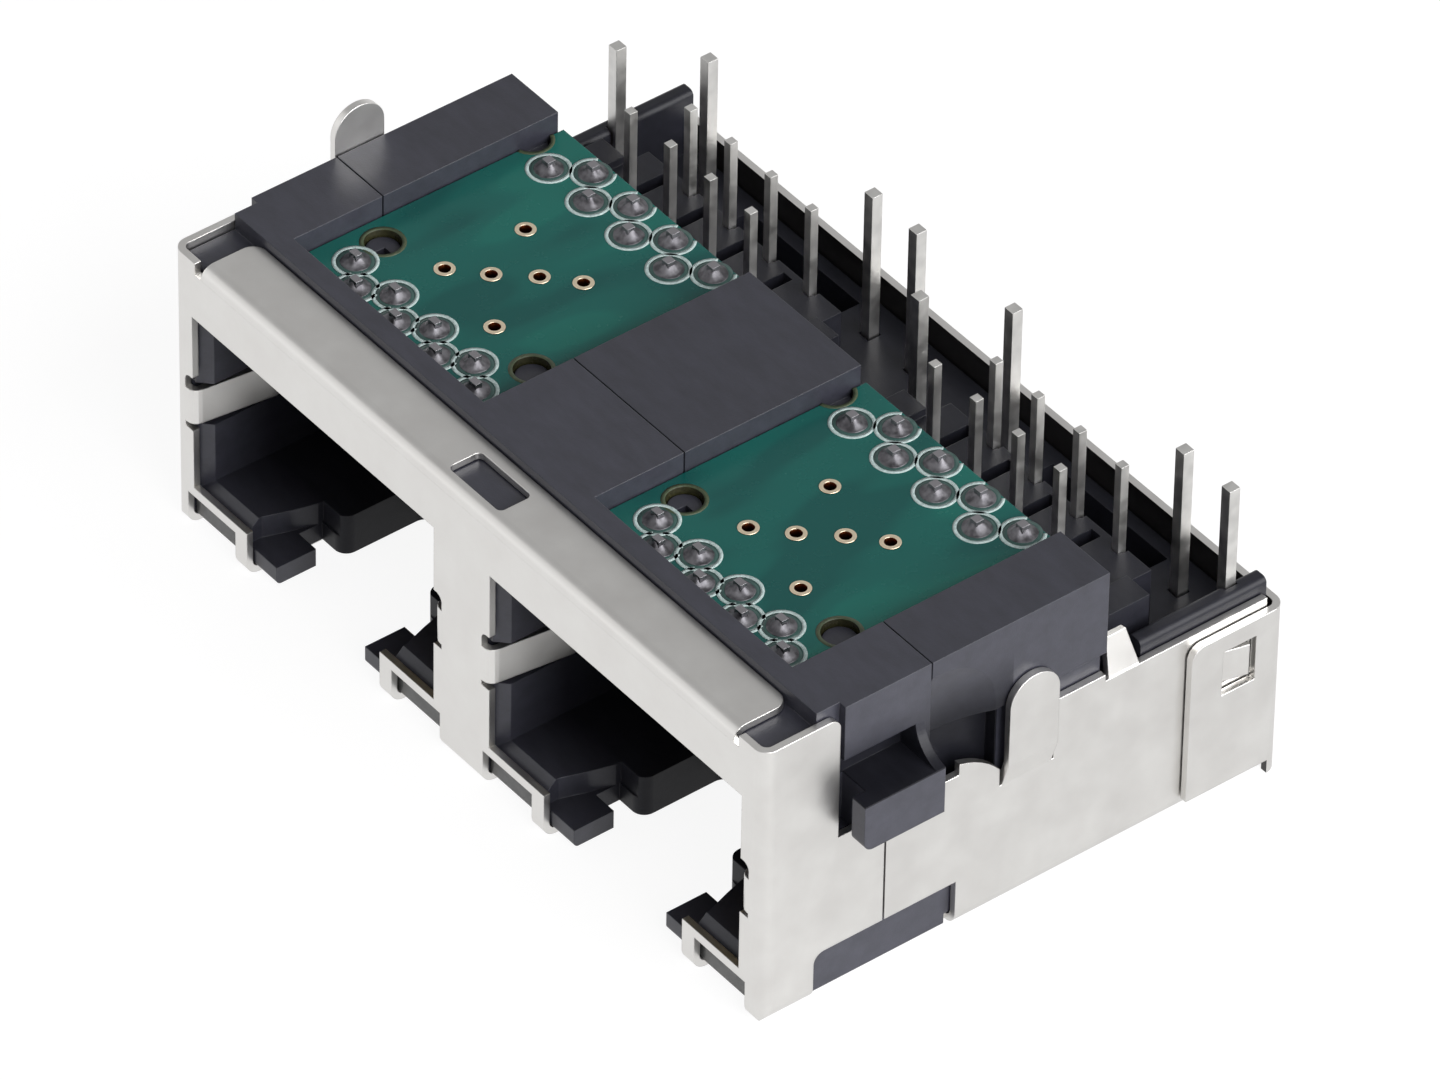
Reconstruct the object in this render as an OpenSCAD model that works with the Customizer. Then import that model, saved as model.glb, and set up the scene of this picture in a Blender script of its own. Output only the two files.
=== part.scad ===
// Low-profile network jack with two plug ports side by side, for a cut-out in a host board.
// It lies on the top panel of its shield with the board side and the pins up.
// X runs along the ports, the port face looks toward -Y, and the origin is the bottom centre.

/* [Shield] */
// Distance from a port's centre to the outside of the side wall
side_w = 7.23; // [7.08:0.05:7.88]
// Depth from the port face to the rear wall
body_d = 20.1; // [19.8:0.1:22]
// Height of the port face, up to the top of the flange
body_h = 11; // [10.7:0.1:12]
// Thickness of the shield sheet
sheet_t = 0.25; // [0.2:0.05:0.3]
// Outside radius of the shield's folds
fold_r = 0.5; // [0.4:0.05:0.6]
// Depth of the flange that is folded over the front
flange_d = 2.16; // [1.8:0.02:2.2]
// Distance from the outside of the side wall to the end of the flange
flange_in = 1.5; // [1.35:0.05:1.85]
// Width of the hole in the flange
flange_hole_w = 2.6; // [1.5:0.1:3]
// Depth of the hole in the flange
flange_hole_d = 1.24; // [0.8:0.02:1.3]
// Depth of the full-height side flaps behind the port face
flap_d = 2.92; // [2.6:0.02:3]
// Depth at which the side wall butts against the front flap
seam_y = 4.76; // [4.2:0.02:5.2]
// Height of the side notch that the housing's side lug stands on
notch_z = 6.2; // [5.8:0.1:6.4]
// Height of the side walls beside the bars
wall_h = 7.22; // [7.1:0.02:7.4]
// Height of the side walls beside the pins
rear_wall_h = 6.97; // [6.8:0.01:7.2]
// Height of the rear wall
back_h = 6.66; // [6.4:0.02:6.9]
// Depth of the side flaps of the rear wall
back_flap_d = 3.72; // [3:0.02:4]
// Height of the openings in the lower fold of the side walls
fold_slot_h = 1.85; // [1.5:0.05:2]
// Distance of these openings behind the port face
fold_slot_y = 2.09; // [1.8:0.01:2.4]
// Depth behind the port face at which these openings and the side notches end
notch_end_y = 7.57; // [7.3:0.01:7.6]

/* [Ground tabs] */
// Width of a ground tab
tab_w = 1.9; // [1.5:0.05:2]
// Distance of the middle of the short tab, on the right, from the rear face
short_tab_in = 9.9; // [9.8:0.05:10.1]
// Distance of the middle of the long tab, on the left, from the rear face
long_tab_in = 12.8; // [12.5:0.05:12.9]
// Height at which both tabs leave the side wall
tab_root_z = 4.9; // [4.5:0.1:5.2]
// Length of the short tab above the board seat
short_tab_len = 0.86; // [0.5:0.02:2]
// Length of the long tab above the board seat
long_tab_len = 4.7; // [2.5:0.1:5.5]
// Outward step of the tabs
tab_jog = 0.3; // [0.2:0.05:0.4]

/* [Ports] */
// Distance between the centres of the two ports
port_pitch = 15.24; // [15.1:0.02:15.4]
// Width of the plug cavity
plug_w = 12.04; // [11.8:0.02:12.2]
// Height of the plug cavity
plug_h = 6.8; // [6.6:0.05:7]
// Height of the cavity floor
plug_z = 1.85; // [1.75:0.05:1.95]
// Distance of the plug cavity's end from the rear face
plug_in = 8.8; // [8.7:0.05:9.1]
// Side gap between the sheet's window and the cavity wall
window_gap = 0.2; // [0.1:0.05:0.25]
// Gap between the sheet's window and the cavity floor or ceiling
window_lift = 0.1; // [0.05:0.05:0.2]
// Size of the lead-in bevel around the cavity mouth
bevel = 0.4; // [0.2:0.05:0.5]
// Width of the latch slot in the sheet
latch_w = 6.9; // [6.6:0.1:7.1]
// Depth of the latch slot in the top panel
latch_d = 6.4; // [6.2:0.1:7]

/* [Status lamps] */
// Distance of a lamp from the port's centre
lamp_x = 5.29; // [5.2:0.01:5.3]
// Width of a lamp window
lamp_w = 2.5; // [2.2:0.1:2.6]
// Height of a lamp window
lamp_h = 1.42; // [1.2:0.02:1.5]
// Length of a lamp
lamp_d = 3.2; // [2.5:0.1:4]
// Depth of a lamp window in the top panel
lamp_window_d = 1.5; // [1:0.1:2]
// Distance of the outer lead of a lamp from the port's centre
outer_lead_x = 6.35; // [6.3:0.01:6.36]
// Distance of the inner lead of a lamp from the port's centre
inner_lead_x = 4.15; // [4.1:0.01:4.2]
// Thickness of a lamp lead
lead_t = 0.4; // [0.3:0.05:0.45]

/* [Small boards] */
// Width of a small board
board_w = 9.6; // [9.5:0.05:9.7]
// Distance of a small board's rear edge from the rear face
board_in = 6.72; // [6.7:0.01:6.9]
// Thickness of a small board
board_t = 1; // [0.8:0.1:1.2]
// Distance of the board's front edge behind the port face
board_y = 2.98; // [2.9:0.02:3]
// Distance of a board's surface below the bars beside it
board_drop = 0.76; // [0.6:0.02:0.9]
// Distance of the outer row of contact holes from the board's front edge
outer_contact_row = 0.62; // [0.55:0.01:0.66]
// Distance of the inner row of contact holes from the board's front edge
inner_contact_row = 1.37; // [1.3:0.01:1.45]
// Distance of the outer row of pin holes from the board's rear edge
outer_pin_row = 0.57; // [0.5:0.01:0.62]
// Distance of the inner row of pin holes from the board's rear edge
inner_pin_row = 1.53; // [1.45:0.01:1.6]
// Bore of the holes for contacts and pins
hole_d = 0.7; // [0.6:0.02:0.8]
// Bore of the plated through holes
via_d = 0.43; // [0.3:0.01:0.5]
// Bore of the locating holes
peg_hole_d = 1.2; // [1:0.05:1.3]
// Clearance around a locating peg
peg_gap = 0.06; // [0.03:0.01:0.1]

/* [Contacts and pins] */
// Distance between neighbouring contacts
contact_pitch = 1.016; // [1:0.004:1.03]
// Width of a contact spring
contact_w = 0.35; // [0.3:0.01:0.38]
// Thickness of a contact spring
contact_t = 0.25; // [0.2:0.01:0.3]
// Thickness of a signal pin
pin_t = 0.3; // [0.25:0.01:0.35]
// Distance of the nearer row of signal pins from the rear face
pin_row_in = 5.03; // [4.9:0.01:5.2]
// Distance of the farther row of signal pins from the rear face
far_pin_row_in = 3.44; // [3.3:0.01:3.6]
// Distance of the lead on the far left of each port from the rear face
outer_lead_in = 3.4; // [3.2:0.01:3.6]
// Distance of the other lamp leads from the rear face
inner_lead_in = 1.47; // [1.3:0.01:1.7]
// Share of the cavity's depth that a contact spring runs back
contact_share = 0.41; // [0.35:0.01:0.44]
// How far it drops below the cavity's ceiling
contact_drop = 2.3; // [1.6:0.1:2.4]
// Length of the pins above the board seat
tail_len = 3.12; // [2:0.02:4.5]

/* [Mouldings] */
// Height of the bars above the flange
bar_rise = 0.33; // [0.2:0.01:0.5]
// Height of the board seat, which is the top of the standoffs beside the pads
seat_z = 8.2; // [8.1:0.05:8.4]
// Distance of a standoff's outer side from the port's centre
seat_x = 6; // [5.6:0.05:6.1]
// Distance of the standoffs from the rear face
seat_end_in = 4.23; // [3.9:0.01:4.5]
// Height of the pads around the pins
pad_z = 7.9; // [7.6:0.05:8]
// Width of the pads of one port
pad_w = 9.8; // [9.4:0.1:10]
// Distance of the pads from the rear face
pad_end_in = 3.25; // [2.7:0.05:3.3]
// Width of the slots behind the pins
slot_w = 0.45; // [0.4:0.01:0.5]
// Height of the carrier's base beside the pads
base_z = 5.6; // [5.4:0.05:5.7]
// Width of the trench in the base behind the pads
trench_w = 5.6; // [4.5:0.1:6]
// Height of the floor of that trench
trench_z = 3; // [1.5:0.1:4]
// Width of the ribs along the side walls
rib_w = 0.6; // [0.4:0.05:0.7]
// Length of these ribs
rib_len = 5; // [4:0.1:5]
// Rise of the right rib above the side wall
rib_rise = 0.5; // [0.2:0.05:0.8]
// Depth at which the housing's bars meet the carrier's
split_y = 6.35; // [6.2:0.05:6.5]
// Distance of the bars' end from the rear face
bar_in = 6.9; // [6.7:0.05:7]
// How far a side lug stands out
lug_out = 1.05; // [0.6:0.05:1.2]
// Height of a side lug's outer face
lug_h = 1.8; // [1.2:0.05:1.9]
// Clearance between the sheet and the mouldings
fit = 0.05; // [0.02:0.01:0.08]
// Clearance around what is moulded in or soldered
snug = 0.02; // [0.01:0.005:0.03]

/* [Hidden] */
$fn = 48;
// How far a cutting form reaches past what it cuts
over = 1;
// Radius of the rear corners of the latch slot
latch_r = 0.5;
body_w = port_pitch + 2 * side_w;
half_w = body_w / 2;
plug_d = body_d - plug_in;
bar_end_y = body_d - bar_in;
short_tab_y = body_d - short_tab_in;
long_tab_y = body_d - long_tab_in;
flange_w = body_w - 2 * flange_in;
inner_x = half_w - sheet_t - fit;
inner_y = sheet_t + fit;
inner_z = sheet_t + fit;
rear_y = body_d - sheet_t - fit;
port_x = port_pitch / 2;
flange_low = body_h - sheet_t;
plug_top = plug_z + plug_h;
window_w = plug_w + 2 * window_gap;
window_z = plug_z - window_lift;
window_top = plug_top + window_lift;
bar_top = body_h + bar_rise;
board_top = bar_top - board_drop;
deck_z = board_top - board_t;
tip_z = seat_z + tail_len;
solder_h = 0.28;
pin_end_rise = 0.1;
pin_end_z = board_top + solder_h + pin_end_rise;
pin_row_y = body_d - pin_row_in;
far_pin_row_y = body_d - far_pin_row_in;
outer_lead_y = body_d - outer_lead_in;
inner_lead_y = body_d - inner_lead_in;
pad_end_y = body_d - pad_end_in;
seat_end_y = body_d - seat_end_in;

// Rows of holes in a small board: front rows for contacts, rear rows for signal pins
board_end_y = body_d - board_in;
front_far_y = board_y + inner_contact_row;
front_near_y = board_y + outer_contact_row;
rear_near_y = board_end_y - inner_pin_row;
rear_far_y = board_end_y - outer_pin_row;
// Plated through holes, from the port's centre and the board's front edge
vias = [[-1.62, 3.35], [-0.54, 4.34], [0.45, 5.46], [1.49, 6.37], [-1.63, 6.5], [1.52, 2.9]];
// Locating pegs, from the port's centre and the port face
front_peg_in = 2.61;
rear_peg_in = 1.1;
front_peg = [3.8, board_y + front_peg_in];
rear_peg = [5, board_end_y - rear_peg_in];

// Colours
sheet_color = [0.86, 0.85, 0.84];
black = [0.16, 0.16, 0.18];
board_green = [0.13, 0.42, 0.35];
tin = [0.75, 0.75, 0.73];
gold = [0.85, 0.7, 0.4];
solder_grey = [0.6, 0.6, 0.58];
lamp_grey = [0.7, 0.7, 0.7];

// Extrude a profile drawn as [y, z] along X
module along_x(x0, x1) {
    translate([x0, 0, 0]) rotate([90, 0, 90]) linear_extrude(x1 - x0) children();
}

// Extrude a profile drawn as [x, z] along Y
module along_y(y0, y1) {
    translate([0, y1, 0]) rotate([90, 0, 0]) linear_extrude(y1 - y0) children();
}

// Extrude a profile drawn as [x, y] along Z
module along_z(z0, z1) {
    translate([0, 0, z0]) linear_extrude(z1 - z0) children();
}

// Box between two opposite corners
module box(p, q) {
    translate(p) cube(q - p);
}

// Rectangle between two corners, with a radius for its lower left, lower right, upper right and
// upper left corner
module rounded(p, q, r) {
    corners = [p, [q[0], p[1]], q, [p[0], q[1]]];
    inward = [[1, 1], [-1, 1], [-1, -1], [1, -1]];
    difference() {
        translate(p) square(q - p);
        for (i = [0:3]) if (r[i] > 0) difference() {
            translate(corners[i]) square(2 * r[i], center = true);
            translate(corners[i] + r[i] * inward[i]) circle(r[i]);
        }
    }
}

function normal(v) = [-v[1], v[0]] / norm(v);
function side(p, i) = i < 0 || i > len(p) - 2 ? undef : normal(p[i + 1] - p[i]);
function miter(p, i) =
    let (a = i == 0 ? side(p, 0) : side(p, i - 1), b = i == len(p) - 1 ? a : side(p, i))
    (a + b) / (1 + a * b);
// Outline of a strip of thickness t whose middle follows the points p
function strip(p, t) = concat(
    [for (i = [0:len(p) - 1]) p[i] + miter(p, i) * t / 2],
    [for (i = [len(p) - 1:-1:0]) p[i] - miter(p, i) * t / 2]);
// The path p with each corner replaced by a curve that starts a distance c before it
function eased(p, c) = concat([p[0]],
    [for (i = [1:len(p) - 2])
        let (a = p[i] + c * (p[i - 1] - p[i]) / norm(p[i - 1] - p[i]),
            b = p[i] + c * (p[i + 1] - p[i]) / norm(p[i + 1] - p[i]))
        for (s = [0:0.25:1]) (1 - s) * (1 - s) * a + 2 * s * (1 - s) * p[i] + s * s * b],
    [p[len(p) - 1]]);

// Place what is drawn from the port face back so that the origin is the bottom centre
module placed() {
    translate([0, -body_d / 2, 0]) children();
}

// Repeat for the left and the right port
module at_ports() {
    for (s = [-1, 1]) translate([s * port_x, 0, 0]) children();
}

// Repeat mirrored, for what is alike on both sides of the middle
module both_sides() {
    children();
    mirror([1, 0, 0]) children();
}

// Outer form of the folded shield, open at the top and the rear, moved inward by inset
module shield_form(inset, top) {
    r = fold_r - inset;
    intersection() {
        along_z(0, top)
            rounded([-half_w + inset, inset], [half_w - inset, body_d + inset], [r, r, 0, 0]);
        along_y(0, body_d + inset)
            rounded([-half_w + inset, inset], [half_w - inset, top], [r, r, 0, 0]);
        along_x(-half_w, half_w)
            rounded([inset, inset], [body_d + inset, top], [r, 0, 0, 0]);
    }
}

// Stretch of the room inside the shield that a moulding fills, from y0 to y1 and up to z1
module core(y0, y1, z1) {
    intersection() {
        shield_form(sheet_t + fit, z1);
        box([-half_w, y0, 0], [half_w, y1, z1]);
    }
}

// Front flange with its fold, drawn as a side profile
module flange() {
    low = body_h - 2 * fold_r;
    hole_r = 0.2;
    difference() {
        along_x(-flange_w / 2, flange_w / 2) difference() {
            rounded([0, low], [flange_d, body_h], [0, 0, 0, fold_r]);
            rounded([sheet_t, low - over], [flange_d + over, flange_low],
                [0, 0, 0, fold_r - sheet_t]);
        }
        along_z(low, body_h + over) difference() {
            translate([-half_w, fold_r]) square([body_w, flange_d]);
            rounded([-flange_w / 2, 0], [flange_w / 2, flange_d], [0, 0, fold_r, fold_r]);
        }
        along_z(low, body_h + over) rounded([-flange_hole_w / 2, (flange_d - flange_hole_d) / 2],
            [flange_hole_w / 2, (flange_d + flange_hole_d) / 2], [hole_r, hole_r, hole_r, hole_r]);
    }
}

// What is cut from the top of a side wall, drawn as [y, z]. The tab stands at tab_y.
module side_sky(tab_y) {
    slit = 0.1;
    notch_r = 0.3;
    least_shoulder = 1;
    front = tab_y - tab_w / 2;
    back = tab_y + tab_w / 2;
    notch_end = min(notch_end_y, front - slit);
    has_shoulder = notch_end < front - least_shoulder;
    difference() {
        translate([flap_d, notch_z]) square([body_d, body_h]);
        translate([back + slit, 0]) square([bar_end_y - back - slit, wall_h]);
        translate([bar_end_y, 0]) square([body_d, rear_wall_h]);
        if (has_shoulder) shoulder(notch_end, front);
    }
    rounded([flap_d, notch_z], [notch_end, body_h + over], [notch_r, 0, 0, 0]);
    translate([front - slit, tab_root_z]) square([tab_w + 2 * slit, body_h]);
    if (has_shoulder) intersection() {
        translate([notch_end, tab_root_z]) square([front - notch_end, body_h]);
        difference() {
            translate([notch_end, tab_root_z]) square([front - notch_end, body_h]);
            shoulder(notch_end, front);
        }
    }
}

// Convex shoulder in front of the short tab
module shoulder(y0, y1) {
    rise = 1.85;
    r = 3.03;
    centre_in = 0.8;
    centre_drop = 1.2;
    intersection() {
        translate([y0, 0]) square([y1 - y0, tab_root_z + rise]);
        translate([y0 - centre_in, tab_root_z - centre_drop]) circle(r);
    }
}

// Ground tab with an outward step above its root, drawn for the right side
module ground_tab(tab_y, top) {
    root = 0.3;
    jog_rise = 0.95;
    x = half_w - sheet_t / 2;
    path = [[x, tab_root_z - root], [x, tab_root_z], [x + tab_jog, tab_root_z + jog_rise],
        [x + tab_jog, top]];
    intersection() {
        along_y(tab_y - tab_w / 2, tab_y + tab_w / 2) polygon(strip(path, sheet_t));
        along_x(half_w - over, half_w + over) union() {
            translate([tab_y - tab_w / 2, 0]) square([tab_w, top - tab_w / 2]);
            translate([tab_y, top - tab_w / 2]) circle(tab_w / 2);
        }
    }
}

// Small tab behind the bars that leans inward over the carrier, drawn for the right side
module leaning_tab() {
    gap = 0.15;
    foot_w = 1.25;
    foot_drop = 0.2;
    foot_h = 0.3;
    lean = 0.4;
    rise = 1.5;
    front_taper = 0.2;
    rear_taper = 0.45;
    y0 = bar_end_y + gap;
    y1 = y0 + foot_w;
    root = rear_wall_h - foot_drop;
    x = half_w - sheet_t / 2;
    path = [[x, root - foot_h], [x, root], [x - lean, root + rise]];
    intersection() {
        along_y(y0, y1) polygon(strip(path, sheet_t));
        along_x(half_w - over, half_w + over)
            polygon([[y0, 0], [y1, 0], [y1, root], [y1 - rear_taper, root + 2 * over],
                [y0 + front_taper, root + 2 * over], [y0, root]]);
    }
}

// Spring finger that bends from the side of a window into the cavity, drawn as [x, y] for the
// right side of a port
finger_root = 0.4;
finger_x = window_w / 2 + finger_root;
finger_z = 4.28;
finger_h = 1.36;
finger_d = 3.8;
finger_out = 0.66;
relief_w = 0.6;
upper_relief_h = 0.6;
lower_relief_h = 0.2;
module finger() {
    root_run = 0.3;
    knee_share = 0.82;
    tip_back = 0.25;
    bend = 0.25;
    path = eased([[finger_x + fit, sheet_t / 2], [finger_x - root_run, sheet_t / 2],
        [finger_x - finger_out, finger_d * knee_share],
        [finger_x - finger_out + tip_back, finger_d]], bend);
    along_z(finger_z, finger_z + finger_h) polygon(strip(path, sheet_t));
}

// Cut that frees a spring finger and leaves reliefs above and below its root
module finger_relief() {
    corner_r = 0.28;
    rounded([finger_x - relief_w, finger_z - lower_relief_h],
        [finger_x, finger_z + finger_h + upper_relief_h], [0, 0, corner_r, 0]);
}

// Windows of one port in the port face and the top panel
module port_windows() {
    along_y(-over, 2 * fold_r) {
        translate([-window_w / 2, window_z]) square([window_w, window_top - window_z]);
        translate([-latch_w / 2, -over]) square([latch_w, window_z + 2 * over]);
        for (s = [-1, 1]) translate([s * lamp_x - lamp_w / 2, -over])
            square([lamp_w, lamp_h + over]);
    }
    along_z(-over, sheet_t + over) {
        rounded([-latch_w / 2, -over], [latch_w / 2, latch_d], [0, 0, latch_r, latch_r]);
        for (s = [-1, 1]) translate([s * lamp_x - lamp_w / 2, -over])
            square([lamp_w, lamp_window_d + over]);
    }
    along_y(-over, 2 * fold_r) both_sides() finger_relief();
}

module main_shield() {
    relief = 0.3;
    relief_h = 0.45;
    flap_r = 0.4;
    seam_gap = 0.08;
    fold_slot_r = 0.4;
    color(sheet_color) placed() {
        difference() {
            shield_form(0, body_h);
            shield_form(sheet_t, body_h + over);
            // Gap at the top of the port face for the flange and the reliefs at its ends
            box([-flange_w / 2 - relief, -over, body_h - relief_h],
                [flange_w / 2 + relief, 2 * fold_r, body_h + over]);
            // Rounded rear corner of the side flaps
            along_x(-half_w - over, half_w + over) difference() {
                translate([flap_d - flap_r, body_h - flap_r]) square(2 * over);
                translate([flap_d - flap_r, body_h - flap_r]) circle(flap_r);
            }
            along_x(half_w - over, half_w + over) side_sky(short_tab_y);
            along_x(-half_w - over, -half_w + over) side_sky(long_tab_y);
            both_sides() {
                // Seam between the front flap and the side wall
                box([half_w - over, seam_y - seam_gap / 2, sheet_t],
                    [half_w + over, seam_y + seam_gap / 2, notch_z + over]);
                // Opening in the lower fold of the side wall
                along_x(half_w - fold_r, half_w + over) rounded([fold_slot_y, -over],
                    [notch_end_y, fold_slot_h], [0, 0, 0, fold_slot_r]);
            }
            at_ports() port_windows();
            // The rear wall stands behind the panel, and its folds behind the side walls
            box([-body_w, rear_y, -over], [body_w, body_d + over, body_h]);
            both_sides() box([half_w - fold_r, body_d - fold_r - fit, -over],
                [half_w + over, body_d + over, body_h]);
            // Openings that the locking hooks are lanced from
            both_sides() along_x(half_w - over, half_w + over) hook_window();
        }
        flange();
        ground_tab(short_tab_y, seat_z + short_tab_len);
        mirror([1, 0, 0]) ground_tab(long_tab_y, seat_z + long_tab_len);
        both_sides() leaning_tab();
        at_ports() both_sides() finger();
        both_sides() hook();
    }
}

// Locking hook lanced out of the side wall, and its window, drawn as [y, z]
hook_in = 2.4;
hook_y = body_d - hook_in;
hook_z = 4.4;
hook_w = 1.15;
hook_h = 1.4;
hook_gap = [0.08, 0.18];
module hook_window() {
    translate([hook_y, hook_z]) square([hook_w, hook_h]);
}
module hook() {
    slit = 0.1;
    root = 0.4;
    x = half_w - sheet_t / 2;
    path = [[x, hook_y - root], [x, hook_y], [x + sheet_t, hook_y + hook_w - slit]];
    along_z(hook_z + slit, hook_z + hook_h - slit) polygon(strip(path, sheet_t));
}

module rear_shield() {
    out_x = half_w + sheet_t + fit;
    flap_z = 0.52;
    color(sheet_color) placed() difference() {
        intersection() {
            along_z(0, back_h) difference() {
                rounded([-out_x, body_d - back_flap_d], [out_x, body_d], [0, 0, fold_r, fold_r]);
                rounded([-out_x + sheet_t, body_d - back_flap_d - over],
                    [out_x - sheet_t, body_d - sheet_t],
                    [0, 0, fold_r - sheet_t, fold_r - sheet_t]);
            }
            along_x(-out_x - over, out_x + over)
                rounded([body_d - back_flap_d, 0], [body_d, back_h], [0, sheet_t / 2, 0, fold_r]);
        }
        // The side flaps stop above the fold of the top panel
        box([-out_x - over, 0, -over], [out_x + over, body_d - fold_r, flap_z]);
        // Windows for the locking hooks
        along_x(-out_x - over, out_x + over)
            translate([hook_y, hook_z] - hook_gap) square([hook_w, hook_h] + 2 * hook_gap);
    }
}

// Plug cavity with its lead-in bevel, drawn around the port's centre
module plug_cavity() {
    w = plug_w / 2;
    y = inner_y;
    intersection() {
        along_z(plug_z - bevel, plug_top + bevel)
            polygon([[-w - bevel - over, y - over], [w + bevel + over, y - over], [w, y + bevel],
                [w, plug_d + over], [-w, plug_d + over], [-w, y + bevel]]);
        along_x(-w - bevel - over, w + bevel + over)
            polygon([[y - over, plug_z - bevel - over], [y + bevel, plug_z],
                [plug_d + over, plug_z], [plug_d + over, plug_top], [y + bevel, plug_top],
                [y - over, plug_top + bevel + over]]);
    }
}

// Channel for the plug's latch below the cavity, drawn around the port's centre
module latch_channel() {
    lip_w = 4.6;
    lip_z = 1;
    lip_d = 2;
    mid_step = 0.25;
    mid_w = latch_w - 2 * mid_step;
    mid_y = 1.83;
    mid_end_y = 2.75;
    tail_w = 4.2;
    tail_y = 2.5;
    tail_in = 0.3;
    corner_r = 0.45;
    mouth_step = 0.3;
    mouth_w = latch_w + 2 * mouth_step;
    mouth_d = 0.8;
    taper_y = 1.7;
    taper_end_y = 2.6;
    upper_end_y = 2.8;
    // Through the floor
    along_z(-over, plug_z + over) {
        translate([-lip_w / 2, 0]) square([lip_w, lip_d]);
        translate([-mid_w / 2, mid_y]) square([mid_w, mid_end_y - mid_y]);
        rounded([-tail_w / 2, tail_y], [tail_w / 2, latch_d - tail_in], [0, 0, latch_r, latch_r]);
        // Rounded corners of the plastic where the channel narrows
        for (s = [-1, 1]) difference() {
            translate([s * (tail_w + corner_r) / 2 - corner_r / 2, tail_y])
                square([corner_r, mid_end_y - tail_y + corner_r]);
            translate([s * (tail_w / 2 + corner_r), mid_end_y + corner_r]) circle(corner_r);
        }
    }
    // Above the lips, wider toward the mouth
    along_z(lip_z, plug_z + over) {
        translate([-mouth_w / 2, 0]) square([mouth_w, mouth_d]);
        polygon([[-mouth_w / 2, mouth_d], [mouth_w / 2, mouth_d], [latch_w / 2, taper_y],
            [mid_w / 2, taper_end_y], [mid_w / 2, upper_end_y], [-mid_w / 2, upper_end_y],
            [-mid_w / 2, taper_end_y], [-latch_w / 2, taper_y]]);
    }
}

lamp_mid_x = (outer_lead_x + inner_lead_x) / 2;
lamp_side = 0.03;
lamp_body_w = outer_lead_x - inner_lead_x + lead_t + 2 * lamp_side;
lamp_low = inner_z + fit;
lamp_top = plug_z - bevel - fit;
lamp_y = inner_y + fit;

// One lamp, drawn for the right side of a port
module lamp() {
    difference() {
        along_y(lamp_y, lamp_y + lamp_d)
            translate([lamp_mid_x - lamp_body_w / 2, lamp_low])
                square([lamp_body_w, lamp_top - lamp_low]);
        for (x = [outer_lead_x, inner_lead_x])
            box([x - lead_t / 2 - snug, lead_y - snug, lead_z - lead_t / 2 - snug],
                [x + lead_t / 2 + snug, lamp_y + lamp_d + over, lead_z + lead_t / 2 + snug]);
    }
}

// Middle of a lead, drawn as [y, z], from inside the lamp to its tip above the board seat
lead_z = 0.85;
lead_hold = 2;
lead_y = lamp_y + lamp_d - lead_hold;
lead_bend = 0.5;
function lead_path(y) = eased([[lead_y, lead_z], [y, lead_z], [y, tip_z]], lead_bend);

// A lead or the channel around it
module lead(x, y, grow) {
    along_x(x - lead_t / 2 - grow, x + lead_t / 2 + grow)
        polygon(strip(lead_path(y), lead_t + 2 * grow));
}

// The pair of leads of the lamp on side s of a port: -1 for the left lamp and 1 for the right one
module leads(s, grow) {
    lead(s * outer_lead_x, s < 0 ? outer_lead_y : inner_lead_y, grow);
    lead(s * inner_lead_x, inner_lead_y, grow);
}

// Middle of a contact, drawn as [y, z], from the board hole to the free end in the cavity
contact_tip = [0.8, 0.3];
contact_run = plug_d * contact_share;
contact_knee = 0.1;
wire_bend = 0.4;
function contact_path(y) = eased([[y, pin_end_z], [y, plug_top - contact_knee],
    [y + contact_run, plug_top - contact_drop],
    [y + contact_run + contact_tip[0], plug_top - contact_drop + contact_tip[1]]], wire_bend);

function contact_x(k) = (k - 4.5) * contact_pitch;
function contact_y(k) = k % 2 == 0 ? front_near_y : front_far_y;
function board_pin_y(k) = k % 2 == 0 ? rear_far_y : rear_near_y;
function tail_y(k) = k % 2 == 0 ? far_pin_row_y : pin_row_y;

module contact(side, k) {
    x = contact_x(k);
    color(gold) placed() translate([side * port_x, 0, 0])
        along_x(x - contact_w / 2, x + contact_w / 2)
            polygon(strip(contact_path(contact_y(k)), contact_t));
}

// Middle of a signal pin, drawn as [y, z]: down from the board, back and up to its tail
pin_run_z = 6;
function pin_path(k) = eased([[board_pin_y(k), pin_end_z], [board_pin_y(k), pin_run_z],
    [tail_y(k), pin_run_z], [tail_y(k), tip_z]], wire_bend);

module pin_form(k, grow) {
    x = contact_x(k);
    along_x(x - pin_t / 2 - grow, x + pin_t / 2 + grow)
        polygon(strip(pin_path(k), pin_t + 2 * grow));
}

module signal_pin(side, k) {
    color(tin) placed() translate([side * port_x, 0, 0]) pin_form(k, 0);
}

// Distance of a bar from the port's centre, and the skirts below the outer bars
bar_x = board_w / 2 + fit;
skirt_t = 0.6;
skirt_drop = 0.52;
skirt_x = half_w - skirt_t;
skirt_z = plug_top - skirt_drop;

// Locating peg that ends a little below the surface of a small board
module peg(x, y) {
    peg_drop = 0.25;
    translate([x, y, deck_z - over])
        cylinder(d = peg_hole_d - 2 * peg_gap, h = over + board_t - peg_drop);
}

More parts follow.
